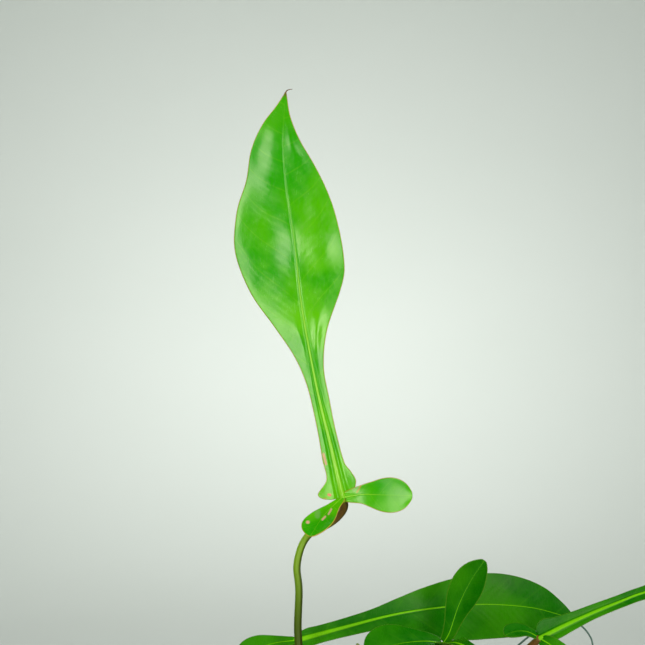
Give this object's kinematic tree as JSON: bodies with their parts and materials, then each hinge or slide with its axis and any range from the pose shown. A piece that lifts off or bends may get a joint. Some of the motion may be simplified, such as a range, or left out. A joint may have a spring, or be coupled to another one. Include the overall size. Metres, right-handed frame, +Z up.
{
  "type": "potted philodendron",
  "caption": "Leafy philodendron with long waisted leaves on slender stalks, growing from a short stem in a plain round terracotta pot of soil.",
  "frame": {"origin": "centre of the flat underside of the pot, on the surface it stands on", "axes": "+Z up along the pot's axis; -Y towards the viewer that the top leaf faces; +X to that viewer's right"},
  "size_m": [0.3745, 0.2906, 0.5273],
  "materials": {
    "terracotta": "matt unglazed terracotta",
    "soil": "loose dark potting mix, matt",
    "root": "matt, pale tan to grey-green",
    "stem": "satin green stem with brown nodes",
    "petiole": "satin, olive green, purple-brown at the top",
    "top_leaf": "glossy yellow-green leaf",
    "leaf": "glossy deep green leaf",
    "dry_sheath": "dry, papery, brown",
    "new_leaf": "satin pale green rolled leaf"
  },
  "bodies": {
    "root": {"pot": "terracotta", "potting_soil": "soil", "root_system": "root", "main_stem": "stem", "new_leaf_spear": "new_leaf", "dry_sheath_right": "dry_sheath", "dry_sheath_back": "dry_sheath", "dry_sheath_front": "dry_sheath", "aerial_root_left": "root", "aerial_root_front": "root", "aerial_root_long": "root", "leaf_blade_top": "top_leaf", "petiole_top": "petiole", "leaf_blade_side": "leaf", "petiole_side": "petiole", "leaf_blade_front": "leaf", "petiole_front": "petiole", "leaf_blade_right": "leaf", "petiole_right": "petiole", "leaf_blade_left_front": "leaf", "petiole_left_front": "petiole", "leaf_blade_right_back": "leaf", "petiole_right_back": "petiole", "leaf_blade_left_back": "leaf", "petiole_left_back": "petiole"}
  },
  "joints": []
}
